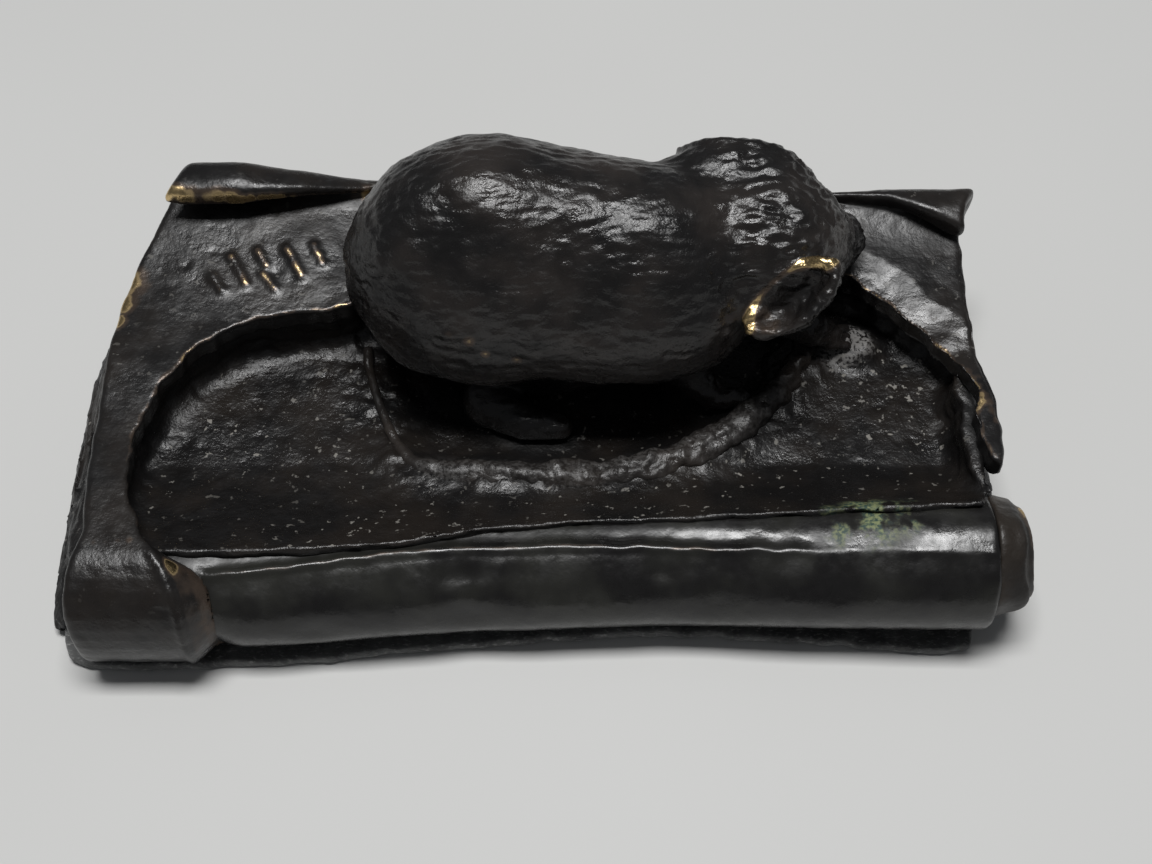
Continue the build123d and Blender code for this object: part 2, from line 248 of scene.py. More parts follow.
def polygon_distance(x, y, points):
    """Signed distance in the plane to a closed outline, negative inside."""
    shape = np.broadcast(x, y).shape
    near = np.full(shape, 1e9)
    inside = np.zeros(shape, bool)
    for (ax, ay), (bx, by) in zip(points, np.roll(points, -1, axis=0)):
        ex, ey = bx - ax, by - ay
        t = np.clip(((x - ax) * ex + (y - ay) * ey) / (ex * ex + ey * ey + 1e-12), 0.0, 1.0)
        near = np.minimum(near, (x - ax - t * ex) ** 2 + (y - ay - t * ey) ** 2)
        if ay != by:
            inside ^= ((ay > y) != (by > y)) & (x < ex * (y - ay) / ey + ax)
    return np.sqrt(near) * np.where(inside, -1.0, 1.0)


# ---------------------------------------------------------------- outlines

base_outline = curve(BASE_OUTLINE, closed=True)
leaf_outline = curve(LEAF_OUTLINE, closed=True)
tear_outline = np.vstack([curve(TEAR_EDGE), TEAR_CLOSED])
tail_line = curve(TAIL_LINE)
wrap_angles = np.radians(np.linspace(222.0, 90.0, 15)[:-1])
wrap_line = np.column_stack([WRAP_Y + WRAP_R * np.cos(wrap_angles), WRAP_Z + WRAP_R * np.sin(wrap_angles)])
left_line = np.vstack([wrap_line, curve(LEAF_RISE + LEFT_CURL)])
right_line = np.vstack([wrap_line, curve(LEAF_RISE + RIGHT_CURL)])


def tear_distance(x, y):
    """Distance to the gnawed opening, negative inside it, with its ragged edge."""
    ragged = 0.55 * wobble(x, y, 0.0, 3.4, 4.0) + 0.3 * wobble(x, y, 0.0, 1.3, 9.0)
    calm = ramp(y, -19.0, -15.0)
    return polygon_distance(x, y, tear_outline) + ragged * calm


# ---------------------------------------------------------------- roll and core

def roll_axis(x):
    """Axis and radius of the rolled edge at each place along it."""
    xs, ys, zs, rs = np.array(ROLL_LINE).T
    return np.interp(x, xs, ys), np.interp(x, xs, zs), np.interp(x, xs, rs)


def roll_skin(x, y, z):
    """Endless rolled edge, before its ends are cut; its section is drawn out forward and down."""
    ay, az, r = roll_axis(x)
    drawn = ramp(x, -33.0, -27.0)
    ey, ez = ROLL_DRAWN[0] * drawn, ROLL_DRAWN[1] * drawn
    t = np.clip(((y - ay) * ey + (z - az) * ez) / (ey**2 + ez**2 + 1e-9), 0.0, 1.0)
    return np.sqrt((y - ay - t * ey) ** 2 + (z - az - t * ez) ** 2) - r


def spiral(dy, dz, pitch):
    """Zigzag from 0 to 1 and back across each turn of a rolled sheet, seen at its end."""
    turn = np.arctan2(dz, dy) / (2.0 * math.pi)
    return np.abs(np.mod(np.hypot(dy, dz) / pitch + turn, 1.0) - 0.5) * 2.0


def roll_shape(x, y, z):
    """Rolled front edge, with its turns stepped at both ends and a bore for the core."""
    ay, az, _ = roll_axis(x)
    dy, dz = y - ay, z - az
    step = 0.55 * ramp(spiral(dy, dz, ROLL_TURN), 0.2, 0.7) + 0.28 * np.hypot(dy, dz)
    ends = np.maximum(ROLL_X0 + step - x, x - ROLL_X1 + 0.2 * step)
    solid = smooth_max(roll_skin(x, y, z), ends, 0.8)
    bore = np.hypot(y - CORE_Y, z - CORE_Z) - CORE_R - BORE_GAP
    return np.where(x > BORE_X0, smooth_max(solid, -bore, 0.3), solid)


def core_shape(x, y, z):
    """Inner turns that stand out of the right end, spread wider there and worn to blunt facets."""
    dy, dz = y - CORE_Y, z - CORE_Z
    across = np.hypot(dy, dz)
    facets = across * (1.0 + 0.03 * np.cos(5.0 * np.arctan2(dz, dy) + 0.7))
    end = x - CORE_X1 + 0.5 * ramp(spiral(dy, dz, CORE_TURN), 0.1, 0.8) + 0.1 * (dz - 2.0)
    spread = smooth_max(facets - SPREAD_R + 0.22 * (x - SPREAD_X0 - 0.8), SPREAD_X0 - x, 0.5)
    stem = np.maximum(across - CORE_R, CORE_X0 - x)
    return smooth_max(smooth_min(spread, stem, 0.2), end, 1.7)


# ---------------------------------------------------------------- torn leaf

def leaf_sheet(y, z, line, under):
    """Sheet along a bent line, thinner in its curl; also the height above its middle, and the curl's room."""
    gap, side = line_distance(y, z, line)
    half = LEAF_HALF_T - 0.5 * ramp(z, 16.6, 19.0) * ramp(y, 15.0, 17.0)
    return gap - half, gap * side, z - along_table(y, under)


def leaf_shape(x, y, z):
    """Torn upper leaf: wrapped over the roll at the front left, curled forward at the back."""
    z = np.where(z > LIP_FOOT_Z, LIP_FOOT_Z + (z - LIP_FOOT_Z) / np.interp(x, LIP_X, LIP_SCALE), z)
    left, lift, left_room = leaf_sheet(y, z, left_line, LEFT_ROOM)
    right, _, right_room = leaf_sheet(y, z, right_line, RIGHT_ROOM)
    blend = ramp(x, -6.0, 16.0)
    sheet = left + (right - left) * blend
    room = left_room + (right_room - left_room) * blend
    slant = TEAR_SLANT + (WRAP_SLANT - TEAR_SLANT) * (1.0 - ramp(y, -20.5, -15.5))
    slant = slant * (1.0 - 0.9 * ramp(x, 24.0, 30.0))
    opening = tear_distance(x, y) + slant * (LEAF_HALF_T - lift)
    outline = polygon_distance(x, y, leaf_outline) + 0.25 * wobble(x * 0.3, y, 0.0, 2.2, 2.0)
    corner = -42.6 + 0.55 * np.maximum(z - LIP_FOOT_Z, 0.0) + 0.35 * np.maximum(y - 12.0, 0.0) - x
    outline = smooth_max(outline, corner, 1.2)
    leaf = smooth_max(smooth_max(sheet, outline, 0.8), -opening, 0.2)
    lip_edge = np.interp(x, LIP_X, LIP_EDGE_Y)
    return smooth_max(leaf, np.minimum(lip_edge - y, room), 0.6)


# ---------------------------------------------------------------- lower leaves and pad

def floor_height(x, y):
    """Height of the lower leaf inside the opening: a soft crest under the tail and a gnawed lump."""
    ring, side = line_distance(x, y, tail_line)
    crest = 1.3 * bell(ring, 3.0) * (0.2 + 0.8 * ramp(-y, 1.0, 5.0) + 0.5 * ramp(x, 10.0, 20.0))
    under = -0.6 * ramp(side * ring, 1.5, 4.0)
    lump = 1.7 * bell(((x - LUMP_X) / 2.7) ** 2 + ((y - LUMP_Y) / 2.7) ** 2, 1.0)
    edge_y = np.interp(x, SHEET_X, SHEET_EDGE_Y)
    ay, az, r = roll_axis(x)
    edge_z = az + np.sqrt(np.maximum(r**2 - (edge_y - ay) ** 2, 0.0)) + 0.8
    climb = np.clip((y + 5.0) / (edge_y + 5.0), 0.0, 1.0) ** 1.35
    level = FLOOR_Z - 0.2
    return level + crest * (1.0 - climb) + under + lump + (edge_z - level) * climb


def body_side(x, y, z):
    """Upright sides of the lower leaves, flared towards the pad, with a groove between pages."""
    pages = 0.5 * np.abs(np.sin(math.pi * (z - PAD_T) / PAGE_T + 0.1 * x + 0.07 * y))
    left = 1.0 - ramp(x, -40.0, -30.0)
    flare = 0.55 * (z - PAD_T) * (0.25 + 0.45 * left)
    return polygon_distance(x, y, base_outline) + pages + flare


def body_floor(x, y, z, block):
    """Block of leaves up to the floor of the opening, ending in a torn edge on the roll."""
    edge_y = np.interp(x, SHEET_X, SHEET_EDGE_Y) + 0.15 * wobble(x, 0.0, 0.0, 1.4, 3.0)
    floor = smooth_max(block, z - floor_height(x, y), 0.8)
    floor = smooth_max(floor, edge_y - y, 0.25)
    return smooth_max(floor, PAD_T - z, 0.4)


def body_wall(x, y, z, block):
    """Block of leaves up to the torn leaf, kept back from the opening's edge."""
    leaf_middle = along_table(y, LEAF_RISE + LEFT_CURL[:1])
    wall = smooth_max(block, z - leaf_middle + 0.6, 0.5)
    undercut = 0.9 + 1.3 * ramp(x, 24.0, 30.0) * ramp(y, 0.0, 5.0)
    undercut = undercut - 2.2 * ramp(x, 36.0, 41.0) * (1.0 - ramp(y, 1.0, 6.0))
    wall = smooth_max(wall, undercut - tear_distance(x, y), 0.6)
    return smooth_max(wall, PAD_T - z, 0.4)


def body_shape(x, y, z):
    """Stacked lower leaves: a low front, the floor, and the wall, with a trough for the roll."""
    side = body_side(x, y, z)
    low = np.abs(z - 0.5 * (PAD_T + LOWER_TOP)) - 0.5 * (LOWER_TOP - PAD_T)
    lower = smooth_max(smooth_max(side, SETBACK_Y - y, 0.5), low, 0.6)
    block = smooth_max(side, 0.5 * (-19.0 - y), 0.5)
    body = smooth_min(lower, body_floor(x, y, z, block), 0.3)
    body = smooth_min(body, body_wall(x, y, z, block), 2.6)
    return smooth_max(body, -(roll_skin(x, y, z) + 0.9), 0.3)


def pad_shape(x, y, z):
    """Thin felt pad with a soft uneven edge."""
    outline = polygon_distance(x, y, base_outline) + 0.35 + 0.3 * wobble(x, y, 0.0, 2.6, 5.0)
    return smooth_max(outline, np.abs(z - 0.72) - 0.62, 0.5)


# ---------------------------------------------------------------- mouse and tail

def ear_axes(x, y, z, centre, facing, along):
    """Place in an ear's own axes: along the lobe, across it, and out of its opening."""
    n = np.array(facing) / np.linalg.norm(facing)
    u = np.array(along) - n * np.dot(along, n)
    u /= np.linalg.norm(u)
    v = np.cross(n, u)
    x, y, z = x - centre[0], y - centre[1], z - centre[2]
    return [x * axis[0] + y * axis[1] + z * axis[2] for axis in (u, v, n)]


def cup(x, y, z, centre, facing, along, radii):
    """Ear lobe: a shallow leaf-shaped bowl, open towards facing, that narrows to its base."""
    a, b, w = ear_axes(x, y, z, centre, facing, along)
    b = b * (1.0 + 0.25 * ramp(-a, 0.0, radii[0]))
    outer = ellipsoid(a, b, w, (0.0, 0.0, 0.6), (radii[0], radii[1], 2.8))
    outer = smooth_max(outer, w - 0.7, 0.3)
    inner = ellipsoid(a, b, w, (0.2, 0.0, 1.4), (radii[0] - 0.75, radii[1] - 0.75, 2.5))
    return smooth_max(outer, -inner, 0.3)


def ear_rim(points, centre, facing, along, radii):
    """Strength from 0 to 1 round the rim of an ear, fading on its lower side."""
    a, b, w = ear_axes(*points.T, centre, facing, along)
    around = np.sqrt((a / radii[0]) ** 2 + (b / radii[1]) ** 2)
    return bell(around - 0.93, 0.2) * bell(w - 0.6, 0.6) * ramp(b, -1.2, 0.4)


def trunk_shape(x, y, z):
    """Rump and shoulders as one mass, flattened towards the front and undercut below."""
    trunk = smooth_min(ellipsoid(x, y, z, **RUMP), ellipsoid(x, y, z, **SHOULDERS), 5.0)
    trunk = smooth_max(trunk, facet(x, y, z, **FLANK_CUT), 3.0)
    trunk = smooth_max(trunk, facet(x, y, z, **BELLY_CUT), 1.6)
    trunk = smooth_min(trunk, ellipsoid(x, y, z, **HAUNCH), 1.0)
    return smooth_min(trunk, ellipsoid(x, y, z, **BELLY), 1.2)


def head_shape(x, y, z):
    """Head turned to the back, nose down at the leaf, with both ears and its eyes."""
    head = smooth_min(ellipsoid(x, y, z, **SKULL), rod(x, y, z, **MUZZLE), 2.2)
    for mass in CHEEKS + [EAR_HUMP]:
        head = smooth_min(head, ellipsoid(x, y, z, **mass), 1.6)
    for ear in (NEAR_EAR, FAR_EAR):
        head = smooth_min(head, cup(x, y, z, **ear), 0.9)
    for eye in EYES:
        head = smooth_max(head, -ellipsoid(x, y, z, eye, SOCKET_R), 0.7)
        head = smooth_min(head, ellipsoid(x, y, z, eye, EYEBALL_R), 0.25)
    return smooth_max(head, -rod(x, y, z, **MOUTH), 0.5)


def legs_shape(x, y, z):
    """Tucked hind foot and fore foot, and the paw that reaches down to the gnawed lump."""
    legs = np.minimum(rod(x, y, z, **HIND_FOOT), rod(x, y, z, **FORE_FOOT))
    legs = np.minimum(legs, rod(x, y, z, **PAW))
    for toe in TOES:
        claw = rod(x, y, z, [(30.0, 9.4 + toe, 10.6), (32.0, 9.8 + 1.3 * toe, 9.9)], [0.6, 0.4])
        legs = smooth_min(legs, claw, 0.4)
    return legs


def mouse_shape(x, y, z):
    """Crouching mouse, cut level below, a little above the floor."""
    figure = smooth_min(trunk_shape(x, y, z), legs_shape(x, y, z), 1.2)
    figure = smooth_min(figure, head_shape(x, y, z), 2.0)
    return smooth_max(figure, FLOOR_Z + 0.05 - z, 0.4)


def tail_shape(x, y, z):
    """Tail lying on the crest: thin at its root behind the rump, thick where it runs forward."""
    route = curve([(px, py, 8.6) for px, py in TAIL_LINE], steps=4)
    share = np.linspace(0.0, 1.0, len(route))
    route[:, 2] += 0.6 * ramp(share, 0.2, 0.5)
    radii = 0.5 + 1.15 * ramp(share, 0.22, 0.5) - 0.5 * ramp(share, 0.75, 1.0)
    return smooth_max(rod(x, y, z, [tuple(p) for p in route], list(radii)), FLOOR_Z - 0.2 - z, 0.2)


def whole_shape(x, y, z):
    """The large metal shapes together, for finding crevices."""
    metal = np.minimum(body_shape(x, y, z), leaf_shape(x, y, z))
    metal = np.minimum(metal, roll_skin(x, y, z))
    return np.minimum(metal, mouse_shape(x, y, z))


# ---------------------------------------------------------------- meshing

def grid_crossings(field):
    """Grid edges that cross the surface: their axis, place, share along, and if they start inside."""
    inside = field < 0.0
    found = []
    for axis in range(3):
        start = [slice(None)] * 3
        end = [slice(None)] * 3
        start[axis], end[axis] = slice(0, -1), slice(1, None)
        start, end = tuple(start), tuple(end)
        crossed = inside[start] != inside[end]
        at_start, at_end = field[start][crossed], field[end][crossed]
        found.append((axis, np.argwhere(crossed), at_start / (at_start - at_end), inside[start][crossed]))
    return found


def cells_beside(where, u, v, du, dv):
    """Cells that touch the given grid edges, du and dv back across the edge."""
    at = where.copy()
    at[:, u] -= du
    at[:, v] -= dv
    return at


def cell_points(crossings, cells):
    """Mean crossing in each cell that the surface passes through, and those cells' numbers."""
    total = np.zeros(cells + (3,))
    count = np.zeros(cells)
    for axis, where, share, _ in crossings:
        place = where.astype(float)
        place[:, axis] += share
        u, v = [i for i in range(3) if i != axis]
        for du, dv in ((0, 0), (0, 1), (1, 0), (1, 1)):
            at = cells_beside(where, u, v, du, dv)
            ok = ((at >= 0) & (at < cells)).all(axis=1)
            index = tuple(at[ok].T)
            np.add.at(count, index, 1.0)
            for k in range(3):
                np.add.at(total[..., k], index, place[ok, k])
    used = count > 0
    number = np.full(cells, -1)
    number[used] = np.arange(used.sum())
    return total[used] / count[used][:, None], number


def cell_faces(crossings, number):
    """A four-sided face round each crossed edge, wound to face out of the metal."""
    faces = []
    for axis, where, _, first_inside in crossings:
        u, v = (axis + 1) % 3, (axis + 2) % 3
        ok = (where[:, u] > 0) & (where[:, v] > 0)
        ok &= (where[:, u] < number.shape[u]) & (where[:, v] < number.shape[v])
        where, first_inside = where[ok], first_inside[ok]
        corners = [cells_beside(where, u, v, du, dv) for du, dv in ((1, 1), (0, 1), (0, 0), (1, 0))]
        quads = np.column_stack([number[tuple(corner.T)] for corner in corners])
        quads[~first_inside] = quads[~first_inside][:, ::-1]
        faces.append(quads)
    return np.vstack(faces)


def surface(shape, low, high, cell):
    """Points and four-sided faces of the surface where the shape's distance is zero."""
    axes = [np.arange(a, b + cell, cell) for a, b in zip(low, high)]
    x, y, z = axes[0][:, None, None], axes[1][None, :, None], axes[2][None, None, :]
    field = np.broadcast_to(shape(x, y, z), tuple(len(a) for a in axes))
    crossings = grid_crossings(field)
    places, number = cell_points(crossings, tuple(n - 1 for n in field.shape))
    return places * cell + np.array(low), cell_faces(crossings, number)


def settle(points, shape, steps=2):
    """Moves the points onto the exact surface and returns their outward directions too."""
    reach = 0.04
    for _ in range(steps):
        x, y, z = points.T
        value = shape(x, y, z)
        slope = np.column_stack([
            shape(x + reach, y, z) - value,
            shape(x, y + reach, z) - value,
            shape(x, y, z + reach) - value,
        ]) / reach
        steep = np.maximum((slope**2).sum(axis=1), 0.05)
        move = np.clip(value, -0.25, 0.25) / steep
        points = points - move[:, None] * slope
    return points, slope / np.maximum(np.linalg.norm(slope, axis=1), 1e-6)[:, None]


def make_mesh(name, points, faces, masks):
    """Object with the given mesh in metres and one value per point for every mask."""
    mesh = bpy.data.meshes.new(name)
    mesh.vertices.add(len(points))
    mesh.vertices.foreach_set("co", (points * MM).astype(np.float32).ravel())
    mesh.loops.add(faces.size)
    mesh.loops.foreach_set("vertex_index", faces.astype(np.int32).ravel())
    mesh.polygons.add(len(faces))
    mesh.polygons.foreach_set("loop_start", np.arange(0, faces.size, 4, dtype=np.int32))
    mesh.update(calc_edges=True)
    mesh.validate()
    mesh.polygons.foreach_set("use_smooth", np.ones(len(mesh.polygons), bool))
    for mask, values in masks.items():
        layer = mesh.attributes.new(mask, "FLOAT", "POINT")
        layer.data.foreach_set("value", values.astype(np.float32))
    piece = bpy.data.objects.new(name, mesh)
    bpy.context.scene.collection.objects.link(piece)
    return piece


# ---------------------------------------------------------------- masks

def spots(points, places):
    """Strength from 0 to 1 near each (x, y, z, radius, strength)."""
    found = np.zeros(len(points))
    for px, py, pz, radius, strength in places:
        gap = ((points - np.array([px, py, pz])) ** 2).sum(axis=1)
        found = np.maximum(found, strength * np.exp(-gap / radius**2))
    return found


def spots_along(line, radius, strength):
    """Spots strung about 1 mm apart along a line of points."""
    out = []
    pts = np.array(line, float)
    for a, b in zip(pts[:-1], pts[1:]):
        n = max(int(np.linalg.norm(b - a)), 1)
        for t in np.arange(n + 1) / n:
            p = a + (b - a) * t
            out.append((p[0], p[1], p[2], radius, strength))
    return out


def surface_masks(points, normals, shape, edge_wear, rubbed, stained, painted_highlight_places):
    """Wear on raised edges and rubbed places, dirt in crevices, green stain, and a pale painted highlight on
    lit crests.
    """
    depth, height = 0.9, 1.3
    thin = 1.0 + shape(*(points - depth * normals).T) / depth
    crevice = 1.0 - whole_shape(*(points + height * normals).T) / height
    x, y, z = points.T
    patchy = 0.5 + 0.5 * wobble(x, y, z, 5.0, 7.0) + 0.35 * wobble(x, y, z, 1.2, 3.0)
    facing_up = 0.45 + 0.55 * np.clip(normals[:, 2] + 0.4, 0.0, 1.0)
    edge = ramp(thin, 0.12, 0.75) * facing_up * np.clip(patchy, 0.0, 1.0)
    touched = spots(points, rubbed) * (0.55 + 0.6 * np.clip(patchy, 0.0, 1.0))
    green = spots(points, stained) * np.clip(0.5 + patchy, 0.0, 1.0)
    return {
        "wear": np.clip(edge_wear * edge + touched, 0.0, 1.0),
        "crevice": np.clip(crevice, 0.0, 1.0),
        "green": np.clip(green, 0.0, 1.0),
        # Painted highlight: pale grey where the tail's crest and the lump catch the light.
        "painted_highlight": spots(points, painted_highlight_places),
    }


def sculpt(name, node, shape, low, high, relief, edge_wear=0.3, rubbed=(), stained=(), painted_highlight_places=(),
           cell=CELL):
    """Meshes a shape, adds its relief along the surface, and puts it in a CAD node's place."""
    points, faces = surface(shape, low, high, cell)
    points, normals = settle(points, shape)
    masks = surface_masks(points, normals, shape, edge_wear, rubbed, stained, painted_highlight_places)
    points = points + relief(points, normals, masks)
    piece = make_mesh(name, points, faces, masks)
    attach(piece, "root")
    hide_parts(node)
    return piece


# ---------------------------------------------------------------- relief (mm)

def cast_grain(points, strength=1.0):
    """Slightly uneven skin of a sand-cast surface."""
    x, y, z = points.T
    grain = 0.07 * wobble(x, y, z, 2.4, 1.0) + 0.035 * wobble(x, y, z, 0.9, 6.0)
    pits = np.clip(wobble(x, y, z, 1.5, 8.0) - 0.45, 0.0, 1.0)
    return strength * (grain - 0.35 * pits)


def mouse_relief(points, normals, masks):
    """Short chased fur strokes that run from the head to the rump, casting pits, and worn ear rims."""
    x, y, z = points.T
    droop = 0.35 * (22.0 - z)
    long_strokes = wobble(x * 0.42 + 0.3 * droop, y, z, 1.15, 2.0)
    short_strokes = wobble(x * 0.5 - 0.2 * y, y * 1.3, z * 1.2, 0.75, 5.0)
    head = ramp(x, 14.0, 20.0)
    fur = (0.14 + 0.36 * head) * (0.4 - np.abs(long_strokes)) + (0.1 + 0.12 * head) * short_strokes
    lumps = 0.26 * wobble(x, y, z, 3.6, 9.0) + 0.2 * wobble(x, y, z, 7.5, 4.0)
    nicks = 0.3 * np.clip(wobble(x * 0.5, y, z, 1.1, 15.0) - 0.35, 0.0, 1.0)
    calm = 1.0 - 0.75 * spots(points, [eye + (2.0, 1.0) for eye in EYES])
    rims = np.maximum(ear_rim(points, **NEAR_EAR), 0.6 * ear_rim(points, **FAR_EAR))
    masks["wear"] = np.maximum(masks["wear"], rims)
    return normals * ((fur * calm) + lumps - nicks + cast_grain(points, 0.8))[:, None]


def strokes_distance(x, y):
    """Distance to a short row of slanted chased strokes on the leaf."""
    near = np.full(x.shape, 9.0)
    for ax, ay, bx, by in STROKES:
        gap, _ = line_distance(x, y, [(ax, ay), (bx, by)])
        near = np.minimum(near, gap)
    return near + 0.12 * wobble(x, y, 0.0, 1.0, 6.0)


def leaf_drape(points, normals, from_tear):
    """Rise and fall of the parchment: its waves, and its thin sagging edge at the right."""
    x, y, z = points.T
    wave = 0.5 * wobble(x, y, 0.0, 13.0, 3.0) + 0.2 * wobble(x, y, z, 5.5, 6.0)
    sag = 0.3 * np.maximum(3.4 + 0.6 * wobble(x, y, 0.0, 4.0, 5.0) - from_tear, 0.0)
    sag = sag * ramp(x, 20.0, 27.0) * ramp(y, 1.0, 5.0) * (z < 17.5)
    under = ramp(-normals[:, 2], -0.5, 0.5) * ramp(x, 22.0, 28.0) * ramp(y, -8.0, -2.0) * (z < 15.5)
    return wave * ramp(y, -16.0, -4.0) - sag + 1.2 * under


def leaf_relief(points, normals, masks):
    """Soft waves of the parchment, chased strokes, worn torn edges, and the skin of the casting."""
    x, y, z = points.T
    from_tear = tear_distance(x, y)
    top = ramp(normals[:, 2], 0.3, 0.7) * (z < 18.6)
    stroke = top * bell(strokes_distance(x, y), 0.45)
    brassy = stroke * ramp(wobble(x, y, 0.0, 1.6, 12.0), -0.5, 0.1)
    wrap = ramp(-y, 17.5, 19.5)
    strip = ramp(-from_tear, 0.1, 0.5) * wrap
    wrap_rim = bell(0.25 - from_tear, 0.35) * wrap
    torn = bell(from_tear - 0.15, 0.35) * top * ramp(-np.abs(y - 4.0), -16.0, -10.0)
    torn = torn * (0.45 + 0.35 * wobble(x, y, 0.0, 4.0, 14.0))
    masks["wear"] = np.clip(masks["wear"] + 0.75 * brassy + torn + 0.4 * strip, 0.0, 1.0)
    out = normals * (0.7 * cast_grain(points) + 0.3 * stroke + 0.22 * wrap_rim + 0.15 * strip)[:, None]
    out[:, 2] += leaf_drape(points, normals, from_tear)
    return out


def roll_relief(points, normals, masks):
    """Sharp worn ridge along the top of the roll, with shallow dents below it."""
    x, y, z = points.T
    ay, az, r = roll_axis(x)
    degrees = np.degrees(np.arctan2(z - az, ay - y))
    line = np.interp(x, RIDGE_X, RIDGE_DEGREES) + 2.5 * wobble(x, 0.0, 0.0, 6.0, 5.0)
    line = line + 2.0 * wobble(x, 0.0, 0.0, 1.8, 5.0)
    arc = np.radians(degrees - line) * r
    shown = ramp(x, -32.0, -28.0) * (1.0 - 0.8 * ramp(x, 16.0, 30.0))
    ridge = 0.34 * bell(arc, 0.42) * shown
    shelf = 0.3 * bell(arc - 1.1, 0.9) * shown
    masks["wear"] = np.clip(masks["wear"] + 0.5 * bell(arc, 0.3) * shown, 0.0, 1.0)
    dents = 0.0
    for dent_x, dent_degrees, half_length, half_height, depth in DENTS:
        lengthwise = (x - dent_x) / half_length
        crosswise = np.radians(degrees - dent_degrees) * r / half_height
        dents = dents + depth * bell(lengthwise, 1.0) * bell(crosswise, 1.0)
    wave = 0.22 * wobble(x, y, z, 8.0, 2.0)
    return normals * (ridge - shelf - dents + wave + 0.5 * cast_grain(points))[:, None]


def body_relief(points, normals, masks):
    """Uneven floor, rough crumbs on the crest and the lump, ragged page edges at the sides."""
    x, y, z = points.T
    up = ramp(normals[:, 2], 0.2, 0.8) * (z > 6.0)
    ring, _ = line_distance(x, y, tail_line)
    crumbs = bell(ring, 2.8) + bell(np.hypot(x - LUMP_X, y - LUMP_Y), 3.0)
    rough = np.clip(crumbs, 0.0, 1.0) * (0.42 * wobble(x, y, z, 1.5, 2.0) + 0.2 * wobble(x, y, z, 0.7, 4.0))
    wave = 0.45 * wobble(x, y, 0.0, 10.0, 8.0) * up * ramp(y, -12.5, -8.5)
    pages = (1.0 - ramp(np.abs(normals[:, 2]), 0.2, 0.7)) * 0.35 * wobble(x * 0.5, y * 0.5, z * 2.2, 1.6, 3.0)
    above = ramp(z, 1.8, 2.6)
    return normals * ((rough + wave + pages + cast_grain(points, 1.3)) * above)[:, None]


def tail_relief(points, normals, masks):
    """Coarse broken fur on the thick part of the tail, smoother towards its root."""
    x, y, z = points.T
    thick = ramp(x, -12.0, 0.0)
    rough = 0.5 * wobble(x, y, z, 1.9, 2.0) + 0.24 * wobble(x, y, z, 0.8, 5.0)
    return normals * (rough * (0.3 + 0.7 * thick))[:, None]


def pad_relief(points, normals, masks):
    """Matted felt fibres; the underside stays flat."""
    x, y, z = points.T
    fuzz = 0.14 * wobble(x, y, z, 1.1, 2.0) + 0.08 * wobble(x, y, z, 0.6, 5.0)
    return normals * (fuzz * ramp(z, 0.15, 0.6))[:, None]


def core_relief(points, normals, masks):
    """Worn, slightly hammered end."""
    return normals * cast_grain(points, 1.6)[:, None]


# ---------------------------------------------------------------- material tools

def new_material(name):
    """Empty node material: the material, its node tree and its shader."""
    material = bpy.data.materials.new(name)
    material.use_nodes = True
    tree = material.node_tree
    return material, tree, tree.nodes["Principled BSDF"]


def node(tree, kind, **settings):
    """Adds a node, sets its plain properties and its unlinked inputs."""
    made = tree.nodes.new(kind)
    for key, value in settings.items():
        if key in made.inputs:
            made.inputs[key].default_value = value
        else:
            setattr(made, key, value)
    return made


def object_coords(tree):
    """Coordinates in the object's own metres."""
    return node(tree, "ShaderNodeTexCoord").outputs["Object"]


def noise_node(tree, coords, scale, detail=4.0, rough=0.55):
    """Noise texture; scale is in features per metre."""
    made = node(tree, "ShaderNodeTexNoise", Scale=scale, Detail=detail, Roughness=rough)
    tree.links.new(coords, made.inputs["Vector"])
    return made.outputs["Fac"]


def ramp_node(tree, value, low, high, low_out=0.0, high_out=1.0):
    """Maps a value from low..high to low_out..high_out with a smooth step."""
    made = node(tree, "ShaderNodeMapRange", interpolation_type="SMOOTHSTEP")
    made.inputs["From Min"].default_value = low
    made.inputs["From Max"].default_value = high
    made.inputs["To Min"].default_value = low_out
    made.inputs["To Max"].default_value = high_out
    tree.links.new(value, made.inputs["Value"])
    return made.outputs["Result"]


def math_node(tree, operation, a, b):
    """Math node; a and b are sockets or numbers."""
    made = node(tree, "ShaderNodeMath", operation=operation)
    for socket, value in zip(made.inputs, (a, b)):
        if isinstance(value, (int, float)):
            socket.default_value = value
        else:
            tree.links.new(value, socket)
    return made.outputs[0]


def plus(tree, a, b):
    """Sum of two sockets or numbers."""
    return math_node(tree, "ADD", a, b)


def times(tree, a, b):
    """Product of two sockets or numbers."""
    return math_node(tree, "MULTIPLY", a, b)


def mix_node(tree, factor, a, b):
    """Mix of two colours; each is a socket or an RGB triple. The node's colour sockets have no own names."""
    made = node(tree, "ShaderNodeMix", data_type="RGBA")
    tree.links.new(factor, made.inputs[0])
    colour_a, colour_b = made.inputs[6], made.inputs[7]
    for socket, value in ((colour_a, a), (colour_b, b)):
        if isinstance(value, tuple):
            socket.default_value = value + (1.0,)
        else:
            tree.links.new(value, socket)
    return made.outputs[2]


def attribute(tree, name):
    """Value stored on the mesh points."""
    made = node(tree, "ShaderNodeAttribute", attribute_name=name)
    return made.outputs["Fac"]


def add_bump(tree, shader, height, strength, distance):
    """Finest grain, which is too small to be geometry; distance is in metres."""
    bump = node(tree, "ShaderNodeBump", Strength=strength, Distance=distance)
    tree.links.new(height, bump.inputs["Height"])
    tree.links.new(bump.outputs["Normal"], shader.inputs["Normal"])


# ---------------------------------------------------------------- materials

PATINA_DARK = (0.008, 0.0075, 0.0075)
PATINA_BROWN = (0.017, 0.014, 0.012)
DIRT = (0.006, 0.006, 0.006)
RUBBED_BROWN = (0.075, 0.055, 0.042)
BRASS = (0.66, 0.49, 0.25)
VERDIGRIS_DARK = (0.03, 0.075, 0.06)
VERDIGRIS_PALE = (0.28, 0.32, 0.15)
# Pale grey painted on as the highlight of the lit tail crest and lump.
PAINTED_HIGHLIGHT_GREY = (0.30, 0.29, 0.28)
DUST = (0.21, 0.20, 0.18)


